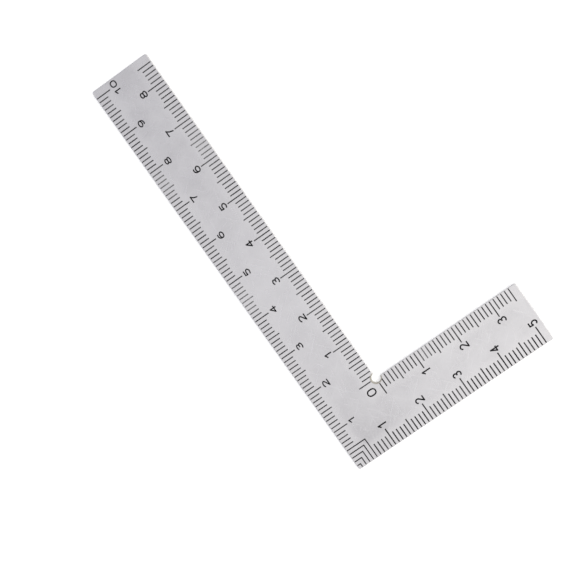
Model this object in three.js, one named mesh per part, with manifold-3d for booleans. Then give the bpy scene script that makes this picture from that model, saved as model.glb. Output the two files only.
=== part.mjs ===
// A small steel square ruler: one flat L-shaped plate with four millimetre scales.
// Every mark and figure is a shallow recess in the upper face with black enamel lying in it.
// Millimetres. The drawing frame has its origin at the outer corner of the square,
// +X along the short arm, +Y along the long arm and +Z out of the marked face.

import * as THREE from 'three';
import { mergeVertices } from 'three/addons/utils/BufferGeometryUtils.js';
import Module from 'manifold-3d';

const wasm = await Module();
wasm.setup();

// Plate
const longArmLength = 101.8;
const shortArmLength = 51.9;
const longArmWidth = 14.9;
const shortArmWidth = 14.75;
const thickness = 1;
const cornerRadius = 0.5;
const edgeBreak = 0.1;

// Relief notch in the inner corner: a round cut on the corner point, with eased lips
const notchRadius = 1.05;
const notchLipRadius = 0.5;

// Marks
const recessDepth = 0.06;
const cutterHeight = 2 * recessDepth;
const enamelThickness = 0.05;
const rootGap = 0.17;
const notchGap = 0.25;
const linkWidth = 0.04;
const chevronCount = 5;
const chevronLine = 0.25;

const recessFloor = thickness - recessDepth;

// Smoothness
const outlineSegments = 7;
const glyphStepDegrees = 20;

// The four scales. Distances run inwards from the edge that each scale belongs to.
// place() turns a distance from that edge and a position along the scale into plate coordinates.
const scales = {
  outer_long: {
    firstMark: chevronCount + 1,
    lastMark: 100,
    markLengths: { unit: 2.56, five: 3.12, ten: 3.78 },
    lineWidth: 0.25,
    place: (distance, along) => new THREE.Vector2(distance, along),
    numerals: { last: 9, distance: 5.1, height: 1.55, width: 1.6, stroke: 0.28 },
  },
  outer_short: {
    firstMark: chevronCount + 1,
    lastMark: 50,
    markLengths: { unit: 2.96, five: 3.6, ten: 4.35 },
    lineWidth: 0.3,
    place: (distance, along) => new THREE.Vector2(along, distance),
    numerals: { last: 5, distance: 5.3, height: 2.2, width: 1.3, stroke: 0.33 },
  },
  inner_long: {
    firstMark: 0,
    lastMark: 85,
    markLengths: { unit: 3.05, five: 3.73, ten: 4.5 },
    lineWidth: 0.25,
    place: (distance, along) => new THREE.Vector2(longArmWidth - distance, shortArmWidth + along),
    numerals: { last: 8, distance: 5.68, height: 1.75, width: 1.57, stroke: 0.3 },
  },
  inner_short: {
    firstMark: 0,
    lastMark: 35,
    markLengths: { unit: 2.87, five: 3.5, ten: 4.17 },
    lineWidth: 0.27,
    place: (distance, along) => new THREE.Vector2(longArmWidth + along, shortArmWidth - distance),
    numerals: { last: 3, distance: 5.13, height: 2.2, width: 1.35, stroke: 0.32 },
  },
};

// The 10 of the outer long scale is two figures, centred just short of its mark
const tenFigures = { middle: 99.6, spacing: 1.95 };

// The 0 that both inner scales share
const zeroFigure = { x: 12.28, y: 12.63, height: 2.3, width: 1.7, stroke: 0.33 };

// Materials

const steel = new THREE.MeshStandardMaterial({ color: 0xc9c7c8, roughness: 0.36, metalness: 1 });
const enamel = new THREE.MeshStandardMaterial({ color: 0x29282a, roughness: 0.55, metalness: 0 });

// Solids

function solidFromGeometry(geometry) {
  geometry.deleteAttribute('normal');
  geometry.deleteAttribute('uv');
  const merged = mergeVertices(geometry);
  return new wasm.Manifold(new wasm.Mesh({
    numProp: 3,
    vertProperties: Float32Array.from(merged.attributes.position.array),
    triVerts: Uint32Array.from(merged.index.array),
  }));
}

function geometryFromSolid(solid) {
  const mesh = solid.getMesh();
  const geometry = new THREE.BufferGeometry();
  geometry.setAttribute('position', new THREE.BufferAttribute(mesh.vertProperties, 3));
  geometry.setIndex(new THREE.BufferAttribute(mesh.triVerts, 1));
  geometry.computeVertexNormals();
  return geometry;
}

// Plate

function plateOutline() {
  const r = cornerRadius;
  const quarter = Math.PI / 2;
  const lip = Math.sqrt(notchRadius ** 2 + 2 * notchRadius * notchLipRadius);
  const lipAngle = Math.atan2(notchLipRadius, lip);
  const notch = new THREE.Vector2(longArmWidth, shortArmWidth);
  const outline = new THREE.Shape();
  outline.absarc(r, r, r, 2 * quarter, 3 * quarter);
  outline.absarc(shortArmLength - r, r, r, 3 * quarter, 4 * quarter);
  outline.absarc(shortArmLength - r, shortArmWidth - r, r, 0, quarter);
  outline.absarc(notch.x + lip, notch.y - notchLipRadius, notchLipRadius, quarter, 2 * quarter - lipAngle);
  // The notch takes two arcs, so that it is as smooth as the corners
  outline.absarc(notch.x, notch.y, notchRadius, -lipAngle, -1.5 * quarter, true);
  outline.absarc(notch.x, notch.y, notchRadius, -1.5 * quarter, lipAngle - 3 * quarter, true);
  outline.absarc(notch.x - notchLipRadius, notch.y + lip, notchLipRadius, lipAngle - quarter, 0);
  outline.absarc(longArmWidth - r, longArmLength - r, r, 0, quarter);
  outline.absarc(r, longArmLength - r, r, quarter, 2 * quarter);
  return outline;
}

function plateSolid() {
  const geometry = new THREE.ExtrudeGeometry(plateOutline(), {
    depth: thickness - 2 * edgeBreak,
    curveSegments: outlineSegments,
    bevelThickness: edgeBreak,
    bevelSize: edgeBreak,
    bevelOffset: -edgeBreak,
    bevelSegments: 1,
  });
  return solidFromGeometry(geometry.translate(0, 0, edgeBreak));
}

// The recess that a mark lies in: the mark itself, drawn up through the marked face
function recessSolid(mark) {
  mark.updateMatrix();
  const geometry = mark.geometry.clone().translate(0, 0, -recessFloor);
  geometry.scale(1, 1, cutterHeight / enamelThickness);
  return solidFromGeometry(geometry.translate(0, 0, recessFloor).applyMatrix4(mark.matrix));
}

// The plate with a recess for every mark
function bladeGeometry(marks) {
  const blade = marks.reduce((solid, mark) => solid.subtract(recessSolid(mark)), plateSolid());
  return geometryFromSolid(blade);
}

// Enamel

// Enamel of one outline, lying on the floor of its recess
function enamelLayer(shape) {
  const geometry = new THREE.ExtrudeGeometry(shape, { depth: enamelThickness, bevelEnabled: false });
  return geometry.translate(0, 0, recessFloor);
}

// The outline of a stroke: its centreline offset half a width to each side
function ribbon(points, width) {
  const left = [];
  const right = [];
  points.forEach((corner, index) => {
    const before = points[index - 1] ?? corner.clone().multiplyScalar(2).sub(points[1]);
    const after = points[index + 1] ?? corner.clone().multiplyScalar(2).sub(before);
    const inward = corner.clone().sub(before).normalize();
    const outward = after.clone().sub(corner).normalize();
    const along = inward.clone().add(outward).normalize();
    const reach = width / 2 / along.dot(inward);
    const side = new THREE.Vector2(-along.y, along.x).multiplyScalar(reach);
    left.push(corner.clone().add(side));
    right.unshift(corner.clone().sub(side));
  });
  return new THREE.Shape([...left, ...right]);
}

// Scales

function markLength(scale, mark) {
  if (mark % 10 === 0) return scale.markLengths.ten;
  if (mark % 5 === 0) return scale.markLengths.five;
  return scale.markLengths.unit;
}

// The first two marks of an inner scale start further in, clear of the notch
function markRoot(scale, mark) {
  const rim = notchRadius + edgeBreak;
  if (scale.firstMark > 0 || mark >= rim) return rootGap;
  return Math.sqrt(rim ** 2 - mark ** 2) + notchGap;
}

// Drops repeated points and points on a straight run
function cornersOnly(points) {
  return points.filter((corner, index) => {
    const before = points.at(index - 1);
    const after = points[(index + 1) % points.length];
    const turn = corner.clone().sub(before).cross(after.clone().sub(corner));
    return Math.abs(turn) > 1e-9;
  });
}

// The marks of one scale, joined at their roots by a hairline so that they are one body.
// The outline runs up the root side and comes back down the side of the free ends.
function graduationsGeometry(scale) {
  const half = scale.lineWidth / 2;
  const rootSide = [];
  const freeSide = [];
  for (let mark = scale.firstMark; mark <= scale.lastMark; mark += 1) {
    const root = markRoot(scale, mark);
    const end = markLength(scale, mark);
    const linkBefore = mark > scale.firstMark ? Math.max(root, markRoot(scale, mark - 1)) : root;
    const linkAfter = mark < scale.lastMark ? Math.max(root, markRoot(scale, mark + 1)) : root;
    rootSide.push([linkBefore, mark - half], [root, mark - half]);
    rootSide.push([root, mark + half], [linkAfter, mark + half]);
    if (mark > scale.firstMark) freeSide.push([linkBefore + linkWidth, mark - half]);
    freeSide.push([end, mark - half], [end, mark + half]);
    if (mark < scale.lastMark) freeSide.push([linkAfter + linkWidth, mark + half]);
  }
  const outline = [...rootSide, ...freeSide.reverse()];
  const distinct = outline.filter((spot, index) => String(spot) !== String(outline.at(index - 1)));
  const placed = distinct.map(([distance, along]) => scale.place(distance, along));
  return enamelLayer(new THREE.Shape(cornersOnly(placed)));
}

// The first marks of the two outer scales meet on the diagonal as nested corner lines
function chevronGeometry(size) {
  const centreline = [
    new THREE.Vector2(size, rootGap),
    new THREE.Vector2(size, size),
    new THREE.Vector2(rootGap, size),
  ];
  return enamelLayer(ribbon(centreline, chevronLine));
}

// Figures: strokes of one width along centrelines drawn in a box that reaches from -1 to 1

function point(x, y) {
  return new THREE.Vector2(x, y);
}

function arc(x, y, radiusX, radiusY, fromDegrees, toDegrees) {
  const from = THREE.MathUtils.degToRad(fromDegrees);
  const to = THREE.MathUtils.degToRad(toDegrees);
  const curve = new THREE.EllipseCurve(x, y, radiusX, radiusY, from, to, to < from);
  return curve.getPoints(Math.ceil(Math.abs(toDegrees - fromDegrees) / glyphStepDegrees));
}

function line(...points) {
  return { points };
}

// A straight stroke whose ends are squared off half a stroke further on
function bar(...points) {
  return { points, squared: true };
}

function oval(y, radiusX, radiusY) {
  return { points: arc(0, y, radiusX, radiusY, 0, 360).slice(0, -1), closed: true };
}

function straightSidedOval(side) {
  const upper = arc(0, side, 1, 1 - side, 0, 180);
  const lower = arc(0, -side, 1, 1 - side, 180, 360);
  return { points: [...upper, ...lower], closed: true };
}

const sixStrokes = [oval(-0.36, 1, 0.64), line(...arc(0.08, 0, 1.05, 1, 52, 188))];

const figureStrokes = [
  [straightSidedOval(0.3)],
  [line(point(-0.6, 0.45), point(0.52, 1)), bar(point(0.52, 1), point(0.52, -1))],
  [line(...arc(0, 0.44, 1, 0.56, 165, -38), point(-0.95, -0.9)), bar(point(-1, -1), point(1, -1))],
  [line(...arc(0, 0.5, 0.86, 0.5, 155, -105)), line(...arc(0, -0.48, 1, 0.52, 105, -155))],
  [
    line(point(0.45, 1), point(-0.92, -0.34)),
    bar(point(-0.95, -0.4), point(1, -0.4)),
    bar(point(0.45, 1), point(0.45, -1)),
  ],
  [
    bar(point(-0.62, 1), point(0.8, 1)),
    line(point(-0.62, 1), point(-0.78, 0.02)),
    line(...arc(0, -0.35, 1, 0.65, 142, -150)),
  ],
  sixStrokes,
  [bar(point(-0.95, 1), point(1, 1)), line(point(0.95, 1), point(0.25, 0.15), point(-0.15, -1.15))],
  [oval(0.5, 0.86, 0.5), oval(-0.48, 1, 0.52)],
  sixStrokes.map((stroke) => ({
    ...stroke,
    points: stroke.points.map((corner) => corner.clone().negate()),
  })),
];

// A closed stroke: its centreline grown, with the centreline shrunk as the hole
function ring(points, width) {
  const offset = (corner, index, distance) => {
    const before = points.at(index - 1);
    const after = points[(index + 1) % points.length];
    const along = after.clone().sub(before).setLength(distance);
    return point(corner.x + along.y, corner.y - along.x);
  };
  const shape = new THREE.Shape(points.map((corner, index) => offset(corner, index, width / 2)));
  shape.holes.push(new THREE.Path(points.map((corner, index) => offset(corner, index, -width / 2))));
  return shape;
}

function lengthened([start, end], step) {
  const along = end.clone().sub(start).setLength(step);
  return [start.clone().sub(along), end.clone().add(along)];
}

function strokeShape(stroke, size, width) {
  const reach = size.clone().subScalar(width).divideScalar(2);
  const points = stroke.points.map((corner) => corner.clone().multiply(reach));
  if (stroke.closed) return ring(points, width);
  return ribbon(stroke.squared ? lengthened(points, width / 2) : points, width);
}

// A figure centred on the origin, its strokes joined into one body
function figureGeometry(figure, { width, height, stroke }) {
  const size = new THREE.Vector2(width, height);
  const layers = figureStrokes[figure].map((path) => enamelLayer(strokeShape(path, size, stroke)));
  return geometryFromSolid(layers.map(solidFromGeometry).reduce((whole, next) => whole.add(next)));
}

// Assembly

const square = new THREE.Group();
square.name = 'steel_square';
square.position.set(-shortArmLength / 2, -longArmLength / 2, 0);

function addMesh(name, geometry, material) {
  const mesh = new THREE.Mesh(geometry, material);
  mesh.name = name;
  square.add(mesh);
  return mesh;
}

// The figures on both arms read along +Y, so each one is turned a quarter turn
function addFigure(name, figure, place, style) {
  const mesh = addMesh(name, figureGeometry(figure, style), enamel);
  mesh.position.set(place.x, place.y, 0);
  mesh.rotation.z = Math.PI / 2;
}

function addScale(name, scale) {
  addMesh(`${name}_graduations`, graduationsGeometry(scale), enamel);
  const { last, distance } = scale.numerals;
  for (let figure = 1; figure <= last; figure += 1) {
    addFigure(`${name}_numeral_${figure}`, figure, scale.place(distance, 10 * figure), scale.numerals);
  }
}

function addTen() {
  const { place, numerals } = scales.outer_long;
  const { middle, spacing } = tenFigures;
  const tens = place(numerals.distance, middle - spacing / 2);
  const units = place(numerals.distance, middle + spacing / 2);
  addFigure('outer_long_numeral_10_tens', 1, tens, numerals);
  addFigure('outer_long_numeral_10_units', 0, units, numerals);
}

for (let size = 1; size <= chevronCount; size += 1) {
  addMesh(`corner_graduation_${size}`, chevronGeometry(size), enamel);
}
for (const [name, scale] of Object.entries(scales)) addScale(name, scale);
addTen();
addFigure('inner_zero_numeral', 0, zeroFigure, zeroFigure);
addMesh('blade', bladeGeometry([...square.children]), steel);

export default square;
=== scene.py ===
"""A small steel square ruler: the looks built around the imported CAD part.

Lengths are metres in the row frame. The plate and the four millimetre scales are built here
and replace their CAD nodes, and the corner lines and figures are the CAD nodes themselves.
Each mark is a shallow recess in the plate with black enamel lying in it.
"""

import math
import random
from functools import reduce
from math import cos, pi, radians, sin

import bmesh
import bpy
from mathutils import Euler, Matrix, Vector
from mathutils.geometry import delaunay_2d_cdt


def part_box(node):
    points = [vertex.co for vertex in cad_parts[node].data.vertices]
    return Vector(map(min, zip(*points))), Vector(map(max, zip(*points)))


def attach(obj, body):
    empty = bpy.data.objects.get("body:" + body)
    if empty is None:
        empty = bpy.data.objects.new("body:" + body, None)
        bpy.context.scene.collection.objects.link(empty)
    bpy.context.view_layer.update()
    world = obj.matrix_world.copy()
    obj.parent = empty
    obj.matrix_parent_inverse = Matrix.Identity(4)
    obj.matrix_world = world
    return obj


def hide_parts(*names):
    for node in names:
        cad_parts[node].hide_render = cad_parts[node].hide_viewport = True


MM = 0.001

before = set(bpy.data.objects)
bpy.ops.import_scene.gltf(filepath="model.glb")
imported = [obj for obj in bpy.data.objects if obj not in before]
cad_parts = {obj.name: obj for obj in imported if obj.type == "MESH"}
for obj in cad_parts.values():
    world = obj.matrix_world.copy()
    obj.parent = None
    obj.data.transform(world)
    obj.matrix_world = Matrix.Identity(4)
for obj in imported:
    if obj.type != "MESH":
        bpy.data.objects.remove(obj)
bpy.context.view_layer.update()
plate_low, plate_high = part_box("blade")

# Plate: its box comes from the frame, and ORIGIN is its outer corner on the underside
ORIGIN = Vector((plate_low.x, plate_low.y, plate_low.z))
LONG_ARM = plate_high.y - plate_low.y
SHORT_ARM = plate_high.x - plate_low.x
THICKNESS = plate_high.z - plate_low.z
LONG_ARM_WIDTH = 14.9 * MM
SHORT_ARM_WIDTH = 14.75 * MM
CORNER_RADIUS = 0.5 * MM
NOTCH_RADIUS = 1.05 * MM
NOTCH_LIP = 0.5 * MM
EDGE_ROUND = 0.1 * MM
ROUND_STEPS = 4
ARC_STEP = radians(6)

# Marks: the depth of a recess, how far under the face its enamel ends, and how far from
# the edge or from the notch's rim a mark starts
RECESS_DEPTH = 0.06 * MM
ENAMEL_SINK = 0.012 * MM
ROOT_GAP = 0.17 * MM
NOTCH_GAP = 0.25 * MM
MARK_CORNER = 0.04 * MM
MARK_CORNER_STEP = radians(45)

# Meshing: a normal this far up is a top face or a flat one, and the triangulation
# is asked for the triangles inside the outlines, with its own weld in millimetres
WELD = 1e-8
TOP_NORMAL = 0.5
FLAT_NORMAL = 0.999
SHARP_ANGLE = radians(30)
CDT_INSIDE = 1
CDT_WELD = 1e-5

# For each scale: its first mark and the one past its last, the lengths of its
# 1, 5 and 10 mm marks, and the width of its lines. Lengths are in millimetres.
SCALES = {
    "outer_long": {"marks": (6, 101), "lengths": (2.56, 3.12, 3.78), "line": 0.25},
    "outer_short": {"marks": (6, 51), "lengths": (2.96, 3.6, 4.35), "line": 0.3},
    "inner_long": {"marks": (0, 86), "lengths": (3.05, 3.73, 4.5), "line": 0.25},
    "inner_short": {"marks": (0, 36), "lengths": (2.87, 3.5, 4.17), "line": 0.27},
}

# Where handling has rubbed the enamel: the middle mark and the reach, in marks
WORN = {
    "outer_long": [(45, 5), (76, 4)],
    "outer_short": [],
    "inner_long": [(64, 6)],
    "inner_short": [(12, 2)],
}
# How far handling has rubbed the middle mark, and how far chance may rub any mark
WEAR_BY_HAND = 0.75
WEAR_BY_CHANCE = 0.3
SEED = 7

# Steel: a cloudy base with fine grain, scratches, rubbed edges, a dull notch rim, and broad
# areas of painted shade and painted sheen.
# Scales are noise cells in a metre, and shares are how far a layer hides the one below.
STEEL_DARK = (0.551, 0.541, 0.547, 1)
STEEL_LIGHT = (0.602, 0.593, 0.598, 1)
STEEL_GRAIN = (0.645, 0.635, 0.64, 1)
STEEL_SCRATCH = (0.74, 0.73, 0.735, 1)
STEEL_RUBBED = (0.66, 0.65, 0.65, 1)
STEEL_BURNT = (0.38, 0.36, 0.315, 1)
STEEL_ROUGHNESS = 0.34
STEEL_ROUGHNESS_SPREAD = 0.03
CLOUD_SCALE = 190
CLOUD_DETAIL = 4
CLOUD_ROUGH = 0.6
CLOUD_CONTRAST = (0.35, 0.65)
GRAIN_SCALE = 3400
GRAIN_CONTRAST = (0.3, 0.7)
GRAIN_SHARE = 0.35
GRAIN_HEIGHT = 0.4
RUBBED_SHARE = 0.6
RUBBED_SMOOTHER = 0.04
SCRATCH_SHARE = 0.22
SCRATCH_SMOOTHER = 0.08
SCRATCH_EDGE = 0.1
STEEL_BUMP = 0.003 * MM
STEEL_BUMP_STRENGTH = 0.5
# Fine scratches: their direction in degrees, how many lie side by side in a metre,
# how many times longer than wide they are, and the noise above which there is one
SCRATCHES = [
    (47, 2600, 14, 0.61),
    (-43, 2400, 12, 0.62),
    (8, 3300, 20, 0.63),
    (74, 6200, 30, 0.66),
]
# Painted shade and painted sheen: broad soft areas painted duller or brighter than the rest,
# standing in for how light falls on the steel.
# Each gives the middle from the outer corner and the reach in millimetres, how strong the
# change is, and its tone.
STEEL_PAINTED_SHADE = (0.40, 0.39, 0.40, 1)
STEEL_PAINTED_SHEEN = (0.78, 0.77, 0.775, 1)
PAINTED_LIGHT_AREAS = [
    (5, 3, 13, 0.5, STEEL_PAINTED_SHADE),
    (8, 44, 34, 0.26, STEEL_PAINTED_SHEEN),
    (32, 8, 26, 0.12, STEEL_PAINTED_SHEEN),
]
# The rubbed bands along the arms' edges: they begin to show this far in from an edge,
# and are full from this far in
RUBBED_FROM = 4.6 * MM
RUBBED_FULL = 3.2 * MM
# The dull rim reaches this far from the notch, and fades over half as much again
BURNT_REACH = 0.25 * MM

# Enamel: uneven matt black that lets the steel show where it is worn
ENAMEL_DARK = (0.008, 0.008, 0.009, 1)
ENAMEL_LIGHT = (0.022, 0.021, 0.023, 1)
ENAMEL_WORN = (0.26, 0.257, 0.26, 1)
ENAMEL_ROUGHNESS = (0.6, 0.75)
ENAMEL_SPECULAR = 0.1
PATCH_SCALE = 1800
PATCH_CONTRAST = (0.35, 0.65)
PATCH_SHARE = 0.4
WORN_IN_PATCHES = (0.5, 1)
ENAMEL_BUMP = 0.002 * MM
ENAMEL_BUMP_STRENGTH = 0.4

# Light: the sky brightens from one side of the square to the other
SKY_TOWARDS = (0.82, -0.57, 0)
SKY_DIM = (0.45, 0.455, 0.535, 1)
SKY_BRIGHT = (1.88, 1.86, 1.80, 1)
SKY_SPREAD = 0.42
# Its strength is SKY_HORIZON up to the first height, and 1 from the second. A height is
# the Z of a direction, so the zenith's is 1.
SKY_HORIZON = 0.32
SKY_FADE = (0.35, 0.9)
FLOOR_TONE = (0.92, 0.92, 0.92, 1)
FLOOR_GLOW = 0.35
FLOOR_ROUGHNESS = 0.9
FLOOR_REACH = 3.0
# Each lamp: its name, power in watts, size, place and tint
LAMPS = [
    ("softbox_right", 5.5, 1.2, (0.9, -0.5, 1.2), (1, 0.99, 0.97)),
    ("softbox_left", 4.0, 1.2, (-1.2, 0.6, 1.0), (0.97, 0.98, 1)),
]

# Camera, from the outer corner of the marked face
CAMERA_OFFSET = Vector((86.37, 58.06, 432.07)) * MM
CAMERA_TURN = Euler((radians(-7.487), radians(6.903), radians(-35.624)))
LENS = 125
SENSOR_WIDTH = 36
CLIP_START = 0.01

# Where a Mix node has its colour sockets
MIX_FIRST = 6
MIX_SECOND = 7
MIX_RESULT = 2


# Plate without its marks


def new_object(name, mesh):
    piece = bpy.data.objects.new(name, mesh)
    bpy.context.scene.collection.objects.link(piece)
    return piece


def mesh_from(name, vertices, faces):
    mesh = bpy.data.meshes.new(name)
    mesh.from_pydata(vertices, [], faces)
    mesh.update()
    return mesh


def arc_points(centre, radius, start, end, step=ARC_STEP):
    """Points along an arc, both ends among them."""
    steps = math.ceil(abs(end - start) / step)
    angles = [start + (end - start) * k / steps for k in range(steps + 1)]
    return [(centre[0] + radius * cos(a), centre[1] + radius * sin(a)) for a in angles]


def plate_outline(inset):
    """The outline of the L, drawn in by inset, anticlockwise from the outer corner."""
    r = CORNER_RADIUS
    corner = r - inset
    notch_x = LONG_ARM_WIDTH
    notch_y = SHORT_ARM_WIDTH
    lip = math.sqrt(NOTCH_RADIUS**2 + 2 * NOTCH_RADIUS * NOTCH_LIP)
    lip_angle = math.atan2(NOTCH_LIP, lip)
    return [
        *arc_points((r, r), corner, pi, 1.5 * pi),
        *arc_points((SHORT_ARM - r, r), corner, 1.5 * pi, 2 * pi),
        *arc_points((SHORT_ARM - r, notch_y - r), corner, 0, 0.5 * pi),
        *arc_points(
            (notch_x + lip, notch_y - NOTCH_LIP), NOTCH_LIP - inset, 0.5 * pi, pi - lip_angle
        ),
        *arc_points(
            (notch_x, notch_y), NOTCH_RADIUS + inset, -lip_angle, lip_angle - 1.5 * pi
        )[1:-1],
        *arc_points(
            (notch_x - NOTCH_LIP, notch_y + lip), NOTCH_LIP - inset, lip_angle - 0.5 * pi, 0
        ),
        *arc_points((notch_x - r, LONG_ARM - r), corner, 0, 0.5 * pi),
        *arc_points((r, LONG_ARM - r), corner, 0.5 * pi, pi),
    ]


def rounded_sides():
    """The sides and the back, with both rims rounded, as vertices and faces."""
    rims = []
    for k in range(ROUND_STEPS + 1):
        turn = 0.5 * pi * k / ROUND_STEPS
        rims.append((EDGE_ROUND * (1 - sin(turn)), EDGE_ROUND * (1 - cos(turn))))
    levels = rims + [(inset, THICKNESS - height) for inset, height in reversed(rims)]
    rings = [[(x, y, z) for x, y in plate_outline(inset)] for inset, z in levels]
    count = len(rings[0])
    faces = [tuple(reversed(range(count)))]
    for level in range(len(rings) - 1):
        for k in range(count):
            after = (k + 1) % count
            low = level * count
            high = low + count
            faces.append((low + k, low + after, high + after, high + k))
    return [ORIGIN + Vector(v) for ring in rings for v in ring], faces


# Marks


def rounded_rectangle(low, high):
    """A rectangle with eased corners, anticlockwise."""
    r = MARK_CORNER
    return [
        *arc_points((low[0] + r, low[1] + r), r, pi, 1.5 * pi, MARK_CORNER_STEP),
        *arc_points((high[0] - r, low[1] + r), r, 1.5 * pi, 2 * pi, MARK_CORNER_STEP),
        *arc_points((high[0] - r, high[1] - r), r, 0, 0.5 * pi, MARK_CORNER_STEP),
        *arc_points((low[0] + r, high[1] - r), r, 0.5 * pi, pi, MARK_CORNER_STEP),
    ]


def mark_root(name, mark):
    """How far from the edge a mark starts. The first two inner marks clear the notch."""
    rim = (NOTCH_RADIUS + EDGE_ROUND) / MM
    if name.startswith("outer") or mark >= rim:
        return ROOT_GAP
    return math.sqrt(rim**2 - mark**2) * MM + NOTCH_GAP


def mark_rectangle(name, mark):
    """One mark of a scale as the low and high corners of its rectangle, from ORIGIN."""
    scale = SCALES[name]
    unit, five, ten = scale["lengths"]
    end = ten if mark % 10 == 0 else five if mark % 5 == 0 else unit
    across = sorted((mark_root(name, mark), end * MM))
    half = scale["line"] * MM / 2
    middle = mark * MM
    if name == "inner_long":
        across = sorted(LONG_ARM_WIDTH - distance for distance in across)
        middle += SHORT_ARM_WIDTH
    if name == "inner_short":
        across = sorted(SHORT_ARM_WIDTH - distance for distance in across)
        middle += LONG_ARM_WIDTH
    along = (middle - half, middle + half)
    if name.endswith("short"):
        return (along[0], across[0]), (along[1], across[1])
    return (across[0], along[0]), (across[1], along[1])


def prisms(name, outlines, bottom, top):
    """One mesh of separate prisms, one for each outline."""
    vertices = []
    faces = []
    for outline in outlines:
        start = len(vertices)
        count = len(outline)
        for z in (bottom, top):
            vertices += [ORIGIN + Vector((x, y, z)) for x, y in outline]
        faces.append(tuple(reversed(range(start, start + count))))
        faces.append(tuple(range(start + count, start + 2 * count)))
        for k in range(count):
            low = start + k
            after = start + (k + 1) % count
            faces.append((low, after, after + count, low + count))
    return mesh_from(name, vertices, faces)


def wear_of(name, mark, chance):
    """How far the enamel of a mark has rubbed away, from 0 to 1."""
    worn = max((1 - abs(mark - at) / reach for at, reach in WORN[name]), default=0)
    return min(1, WEAR_BY_HAND * max(0, worn) + WEAR_BY_CHANCE * chance.random())


def scale_piece(name, chance):
    """The enamel of all marks of one scale, each a separate prism in one mesh on the root body,
    and their outlines.
    """
    marks = range(*SCALES[name]["marks"])
    outlines = [rounded_rectangle(*mark_rectangle(name, mark)) for mark in marks]
    mesh = prisms(name, outlines, THICKNESS - RECESS_DEPTH, THICKNESS - ENAMEL_SINK)
    wear = mesh.attributes.new("wear", "FLOAT", "POINT")
    values = []
    for mark, outline in zip(marks, outlines):
        values += [wear_of(name, mark, chance)] * (2 * len(outline))
    wear.data.foreach_set("value", values)
    piece = new_object(f"{name}_marks", mesh)
    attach(piece, "root")
    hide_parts(f"{name}_graduations")
    return piece, outlines


# Plate with its recesses


def face_loops(node):
    """The loops around the top face of a CAD mark, anticlockwise, as points from ORIGIN."""
    solid = bmesh.new()
    solid.from_mesh(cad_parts[node].data)
    bmesh.ops.remove_doubles(solid, verts=solid.verts, dist=WELD)
    following = {}
    for face in solid.faces:
        if face.normal.z > TOP_NORMAL:
            corners = [loop.vert for loop in face.loops]
            following.update({(a, b): b for a, b in zip(corners, corners[1:] + corners[:1])})
    rim = {a: b for a, b in following if (b, a) not in following}
    loops = []
    while rim:
        start, vertex = rim.popitem()
        loop = [start]
        while vertex is not start:
            loop.append(vertex)
            vertex = rim.pop(vertex)
        loops.append([tuple((v.co - ORIGIN).xy) for v in loop])
    solid.free()
    return [loop if signed_area(loop) > 0 else loop[::-1] for loop in loops]


def signed_area(loop):
    """The area inside a loop, positive when it runs anticlockwise."""
    after = loop[1:] + loop[:1]
    return sum(a[0] * b[1] - b[0] * a[1] for a, b in zip(loop, after)) / 2


def marked_face(loops):
    """The marked face with a recess inside each loop, as vertices and faces.

    A triangle inside an even number of loops, the plate's own among them, is recessed.
    Each side keeps its triangles by their edges, so that an edge with the face on one
    hand and a recess on the other gets a wall.
    """
    points = [Vector(point) / MM for loop in loops for point in loop]
    starts = [sum(map(len, loops[:k])) for k in range(len(loops))]
    bounds = [list(range(start, start + len(loop))) for start, loop in zip(starts, loops)]
    flat, _, triangles, _, _, inside = delaunay_2d_cdt(points, [], bounds, CDT_INSIDE, CDT_WELD)
    count = len(flat)
    levels = (THICKNESS - RECESS_DEPTH, THICKNESS)
    vertices = [Vector((p.x * MM, p.y * MM, z)) for z in levels for p in flat]
    upper = {}
    lower = {}
    for triangle, owners in zip(triangles, inside):
        side = upper if len(owners) % 2 else lower
        side.update({edge: triangle for edge in zip(triangle, triangle[1:] + triangle[:1])})
    faces = list(dict.fromkeys(tuple(t) for t in lower.values()))
    faces += dict.fromkeys(tuple(count + v for v in t) for t in upper.values())
    faces += [(b, a, a + count, b + count) for a, b in lower if (b, a) in upper]
    return [ORIGIN + v for v in vertices], faces


def steel_plate(loops):
    """The plate: rounded sides and the back, welded to the marked face."""
    vertices, faces = rounded_sides()
    face_vertices, face_faces = marked_face([plate_outline(EDGE_ROUND), *loops])
    start = len(vertices)
    vertices += face_vertices
    faces += [tuple(start + v for v in face) for face in face_faces]
    body = bmesh.new()
    mesh = mesh_from("steel_plate", vertices, faces)
    body.from_mesh(mesh)
    bmesh.ops.remove_doubles(body, verts=body.verts, dist=WELD)
    bmesh.ops.delete(body, geom=[v for v in body.verts if not v.link_faces], context="VERTS")
    body.to_mesh(mesh)
    body.free()
    mesh.set_sharp_from_angle(angle=SHARP_ANGLE)
    for face in mesh.polygons:
        face.use_smooth = abs(face.normal.z) < FLAT_NORMAL
    piece = new_object("steel_plate", mesh)
    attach(piece, "root")
    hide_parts("blade")
    return piece


# Materials


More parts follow.
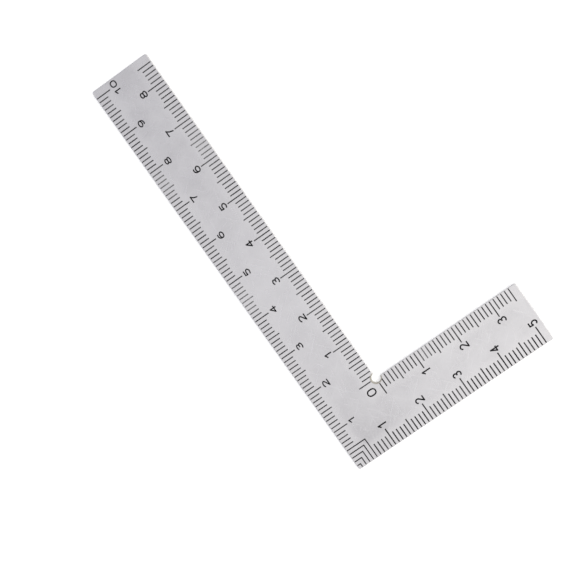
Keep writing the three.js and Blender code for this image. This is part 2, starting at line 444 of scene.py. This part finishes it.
class Nodes:
    """A short way to write a node tree."""

    def __init__(self, name):
        self.material = bpy.data.materials.new(name)
        self.material.use_nodes = True
        self.tree = self.material.node_tree
        self.shader = self.tree.nodes["Principled BSDF"]

    def add(self, kind, inputs=None, **settings):
        """A node with these inputs, each a value or the socket it comes from."""
        node = self.tree.nodes.new(kind)
        for key, value in settings.items():
            setattr(node, key, value)
        for key, value in (inputs or {}).items():
            self.feed(node.inputs[key], value)
        return node

    def feed(self, socket, value):
        if isinstance(value, bpy.types.NodeSocket):
            self.tree.links.new(value, socket)
        else:
            socket.default_value = value

    def place(self, turn, stretch):
        """Object coordinates, turned about Z and then stretched."""
        coordinates = self.add("ShaderNodeTexCoord").outputs["Object"]
        turned = self.add("ShaderNodeMapping", {"Vector": coordinates})
        turned.inputs["Rotation"].default_value = (0, 0, turn)
        inputs = {0: turned.outputs["Vector"], 1: stretch}
        return self.add("ShaderNodeVectorMath", inputs, operation="MULTIPLY").outputs[0]

    def noise(self, scale, where=None, detail=2.0, rough=0.5):
        where = where or self.add("ShaderNodeTexCoord").outputs["Object"]
        inputs = {"Vector": where, "Scale": scale, "Detail": detail, "Roughness": rough}
        return self.add("ShaderNodeTexNoise", inputs).outputs["Fac"]

    def spread(self, value, low, high, to_low=0.0, to_high=1.0, soft=False):
        """Value, taken from low..high to to_low..to_high and held there outside."""
        inputs = {
            "Value": value,
            "From Min": low,
            "From Max": high,
            "To Min": to_low,
            "To Max": to_high,
        }
        course = "SMOOTHSTEP" if soft else "LINEAR"
        node = self.add("ShaderNodeMapRange", inputs, interpolation_type=course)
        return node.outputs["Result"]

    def distance(self, first, second):
        node = self.add("ShaderNodeVectorMath", {0: first, 1: second}, operation="DISTANCE")
        return node.outputs["Value"]

    def math(self, operation, first, second):
        node = self.add("ShaderNodeMath", {0: first, 1: second}, operation=operation)
        return node.outputs[0]

    def mix(self, share, first, second):
        node = self.add("ShaderNodeMix", data_type="RGBA")
        self.feed(node.inputs["Factor"], share)
        self.feed(node.inputs[MIX_FIRST], first)
        self.feed(node.inputs[MIX_SECOND], second)
        return node.outputs[MIX_RESULT]

    def bump(self, height, distance, strength):
        node = self.add("ShaderNodeBump", {"Height": height, "Distance": distance})
        node.inputs["Strength"].default_value = strength
        self.feed(self.shader.inputs["Normal"], node.outputs["Normal"])


def scratches(nodes, turn, density, slender, sparse):
    """Fine straight scratches along one direction: 1 in a scratch and 0 elsewhere."""
    where = nodes.place(radians(turn), (density, density / slender, density))
    lines = nodes.noise(1.0, where, detail=1.0)
    return nodes.spread(lines, sparse, sparse + SCRATCH_EDGE)


def edge_distance(nodes, where):
    """How far inside the nearest long edge a point lies."""
    sides = nodes.add("ShaderNodeSeparateXYZ", {"Vector": where}).outputs
    outer = nodes.math("MINIMUM", sides["X"], sides["Y"])
    inner_long = nodes.math("SUBTRACT", LONG_ARM_WIDTH, sides["X"])
    inner_short = nodes.math("SUBTRACT", SHORT_ARM_WIDTH, sides["Y"])
    inner = nodes.math("MAXIMUM", inner_long, inner_short)
    return nodes.math("MINIMUM", outer, inner)


def steel_material():
    nodes = Nodes("satin_steel")
    here = nodes.add("ShaderNodeTexCoord").outputs["Object"]
    away = nodes.add("ShaderNodeVectorMath", {0: here, 1: ORIGIN}, operation="SUBTRACT")
    away = away.outputs["Vector"]
    notch = (LONG_ARM_WIDTH, SHORT_ARM_WIDTH, THICKNESS)
    from_notch = nodes.distance(away, notch)
    clouds = nodes.noise(CLOUD_SCALE, detail=CLOUD_DETAIL, rough=CLOUD_ROUGH)
    cloud = nodes.spread(clouds, *CLOUD_CONTRAST)
    grain = nodes.spread(nodes.noise(GRAIN_SCALE, detail=1), *GRAIN_CONTRAST)
    marks = reduce(
        lambda one, other: nodes.math("MAXIMUM", one, other),
        [scratches(nodes, *family) for family in SCRATCHES],
    )
    rubbed = nodes.spread(edge_distance(nodes, away), RUBBED_FROM, RUBBED_FULL)
    burnt_to = NOTCH_RADIUS + BURNT_REACH
    burnt = nodes.spread(from_notch, burnt_to + 0.5 * BURNT_REACH, burnt_to)
    tone = nodes.mix(cloud, STEEL_DARK, STEEL_LIGHT)
    # Painted shade near the corner and painted sheen on the arms: broad areas darkened or
    # brightened in the base colour in place of light
    for x, y, reach, strength, colour in PAINTED_LIGHT_AREAS:
        from_middle = nodes.distance(away, (x * MM, y * MM, THICKNESS))
        near = nodes.spread(from_middle, reach * MM, 0, 0, strength, soft=True)
        tone = nodes.mix(near, tone, colour)
    tone = nodes.mix(nodes.math("MULTIPLY", grain, GRAIN_SHARE), tone, STEEL_GRAIN)
    tone = nodes.mix(nodes.math("MULTIPLY", rubbed, RUBBED_SHARE), tone, STEEL_RUBBED)
    tone = nodes.mix(nodes.math("MULTIPLY", marks, SCRATCH_SHARE), tone, STEEL_SCRATCH)
    tone = nodes.mix(burnt, tone, STEEL_BURNT)
    nodes.feed(nodes.shader.inputs["Base Color"], tone)
    nodes.shader.inputs["Metallic"].default_value = 1.0
    smooth_end = STEEL_ROUGHNESS - STEEL_ROUGHNESS_SPREAD
    rough_end = STEEL_ROUGHNESS + STEEL_ROUGHNESS_SPREAD
    rough = nodes.spread(cloud, 0, 1, smooth_end, rough_end)
    rough = nodes.math("SUBTRACT", rough, nodes.math("MULTIPLY", marks, SCRATCH_SMOOTHER))
    rough = nodes.math("SUBTRACT", rough, nodes.math("MULTIPLY", rubbed, RUBBED_SMOOTHER))
    nodes.feed(nodes.shader.inputs["Roughness"], rough)
    relief = nodes.math("SUBTRACT", nodes.math("MULTIPLY", grain, GRAIN_HEIGHT), marks)
    nodes.bump(relief, STEEL_BUMP, STEEL_BUMP_STRENGTH)
    return nodes.material


def enamel_material():
    nodes = Nodes("black_enamel")
    wear = nodes.add("ShaderNodeAttribute", attribute_name="wear").outputs["Fac"]
    patches = nodes.spread(nodes.noise(PATCH_SCALE, detail=3), *PATCH_CONTRAST)
    worn = nodes.math("MULTIPLY", wear, nodes.spread(patches, 0, 1, *WORN_IN_PATCHES))
    tone = nodes.mix(nodes.math("MULTIPLY", patches, PATCH_SHARE), ENAMEL_DARK, ENAMEL_LIGHT)
    nodes.feed(nodes.shader.inputs["Base Color"], nodes.mix(worn, tone, ENAMEL_WORN))
    nodes.shader.inputs["Metallic"].default_value = 0.0
    nodes.shader.inputs["Specular IOR Level"].default_value = ENAMEL_SPECULAR
    rough = nodes.spread(patches, 0, 1, *ENAMEL_ROUGHNESS)
    nodes.feed(nodes.shader.inputs["Roughness"], rough)
    nodes.bump(patches, ENAMEL_BUMP, ENAMEL_BUMP_STRENGTH)
    return nodes.material


def floor_material():
    nodes = Nodes("white_table")
    nodes.shader.inputs["Base Color"].default_value = FLOOR_TONE
    nodes.shader.inputs["Emission Color"].default_value = FLOOR_TONE
    nodes.shader.inputs["Emission Strength"].default_value = FLOOR_GLOW
    nodes.shader.inputs["Roughness"].default_value = FLOOR_ROUGHNESS
    nodes.shader.inputs["Specular IOR Level"].default_value = 0.0
    return nodes.material


# Studio


def area_light(name, energy, size, place, tint):
    """A soft lamp that faces the origin."""
    light = bpy.data.lights.new(name, "AREA")
    light.energy = energy
    light.size = size
    light.color = tint
    lamp = new_object(name, light)
    lamp.location = place
    lamp.rotation_euler = (-Vector(place)).to_track_quat("-Z", "Y").to_euler()


def sky_light():
    """A soft sky, brighter on one side, that dims towards the horizon."""
    world = bpy.data.worlds.new("studio")
    world.use_nodes = True
    tree = world.node_tree
    place = tree.nodes.new("ShaderNodeTexCoord")
    along = tree.nodes.new("ShaderNodeVectorMath")
    along.operation = "DOT_PRODUCT"
    along.inputs[1].default_value = SKY_TOWARDS
    share = tree.nodes.new("ShaderNodeMapRange")
    share.inputs["From Min"].default_value = -SKY_SPREAD
    share.inputs["From Max"].default_value = SKY_SPREAD
    colour = tree.nodes.new("ShaderNodeMix")
    colour.data_type = "RGBA"
    colour.inputs[MIX_FIRST].default_value = SKY_DIM
    colour.inputs[MIX_SECOND].default_value = SKY_BRIGHT
    tree.links.new(place.outputs["Generated"], along.inputs[0])
    tree.links.new(along.outputs["Value"], share.inputs["Value"])
    tree.links.new(share.outputs["Result"], colour.inputs["Factor"])
    sides = tree.nodes.new("ShaderNodeSeparateXYZ")
    height = tree.nodes.new("ShaderNodeMapRange")
    height.interpolation_type = "SMOOTHSTEP"
    height.inputs["From Min"].default_value = SKY_FADE[0]
    height.inputs["From Max"].default_value = SKY_FADE[1]
    height.inputs["To Min"].default_value = SKY_HORIZON
    tree.links.new(place.outputs["Generated"], sides.inputs["Vector"])
    tree.links.new(sides.outputs["Z"], height.inputs["Value"])
    tree.links.new(colour.outputs[MIX_RESULT], tree.nodes["Background"].inputs["Color"])
    tree.links.new(height.outputs["Result"], tree.nodes["Background"].inputs["Strength"])
    bpy.context.scene.world = world


def floor():
    reach = FLOOR_REACH
    corners = [(-reach, -reach, 0), (reach, -reach, 0), (reach, reach, 0), (-reach, reach, 0)]
    sheet = new_object("table", mesh_from("table", corners, [(0, 1, 2, 3)]))
    sheet.data.materials.append(floor_material())
    sheet.location.z = plate_low.z


def camera():
    """The photograph's camera: it looks down on the marked face, a little off the vertical."""
    data = bpy.data.cameras.new("camera")
    data.lens = LENS
    data.sensor_width = SENSOR_WIDTH
    data.clip_start = CLIP_START
    view = new_object("camera", data)
    view.location = ORIGIN + Vector((0, 0, THICKNESS)) + CAMERA_OFFSET
    view.rotation_euler = CAMERA_TURN
    bpy.context.scene.camera = view


def main():
    camera()
    sky_light()
    bpy.context.scene.view_settings.view_transform = "Standard"
    floor()
    for lamp in LAMPS:
        area_light(*lamp)
    chance = random.Random(SEED)
    steel = steel_material()
    enamel = enamel_material()
    outlines = []
    for name in SCALES:
        piece, marks = scale_piece(name, chance)
        piece.data.materials.append(enamel)
        outlines += marks
    for node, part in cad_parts.items():
        if "numeral" in node or node.startswith("corner"):
            part.data.materials.clear()
            part.data.materials.append(enamel)
            outlines += face_loops(node)
    steel_plate(outlines).data.materials.append(steel)


main()
